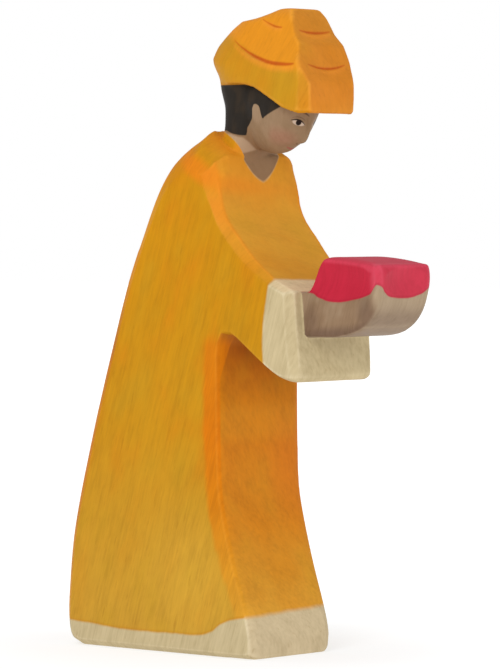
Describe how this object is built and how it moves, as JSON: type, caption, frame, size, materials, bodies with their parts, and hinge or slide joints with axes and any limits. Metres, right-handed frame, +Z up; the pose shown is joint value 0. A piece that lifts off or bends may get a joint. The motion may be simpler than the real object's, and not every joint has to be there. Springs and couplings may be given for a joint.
{
  "type": "nativity wise man figurine",
  "caption": "Carved and stained wooden wise man in a turban and long robe, head bowed, holding out a gift in both hands; stands on its flat foot.",
  "frame": {"origin": "middle of the flat underside of the foot", "axes": "+Z up, the figure faces -Y, its own right side is at -X"},
  "size_m": [0.024, 0.0806, 0.1295],
  "materials": {
    "wood": "maple with thin matt water stains, golden yellow and orange over most of it, sanded edges"
  },
  "bodies": {
    "root": {"figure": "wood"}
  },
  "joints": []
}
